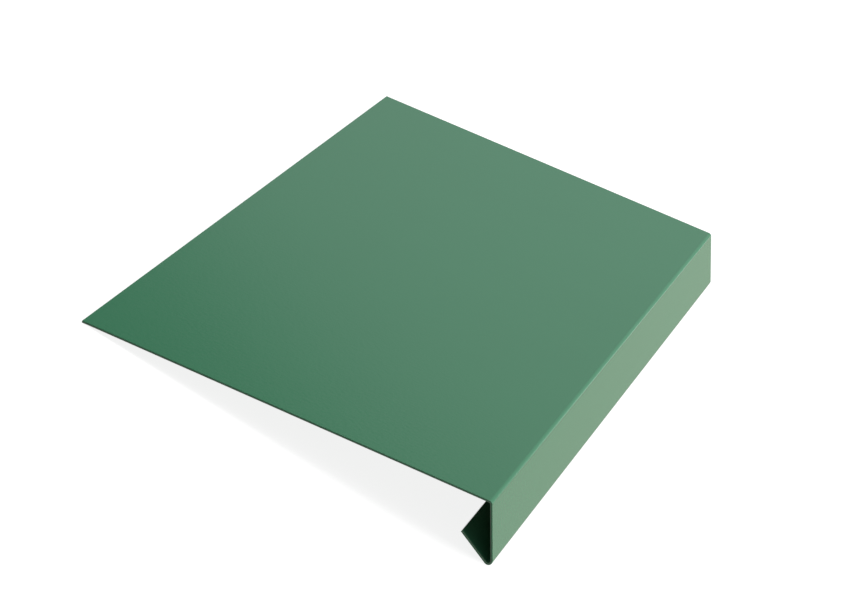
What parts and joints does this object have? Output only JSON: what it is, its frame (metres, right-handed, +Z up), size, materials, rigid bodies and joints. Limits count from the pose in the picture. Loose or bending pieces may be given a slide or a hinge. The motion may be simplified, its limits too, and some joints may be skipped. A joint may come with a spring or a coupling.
{
  "type": "drip edge flashing",
  "caption": "Folded sheet-metal drip edge: a wide roof flange, a short drop that hangs plumb at the eaves, and a lip returned behind the drop to shed water.",
  "frame": {"origin": "centre of the bounding box in plan, on the floor that the part lies on", "axes": "+X across the flange towards the drop, +Y along the fold lines, +Z up from the floor"},
  "size_m": [0.1584, 0.35, 0.0203],
  "materials": {
    "painted_steel": "satin prepainted coil coating, dark green on both sides; cut ends show the metal core"
  },
  "bodies": {
    "root": {"flashing": "painted_steel"}
  },
  "joints": []
}
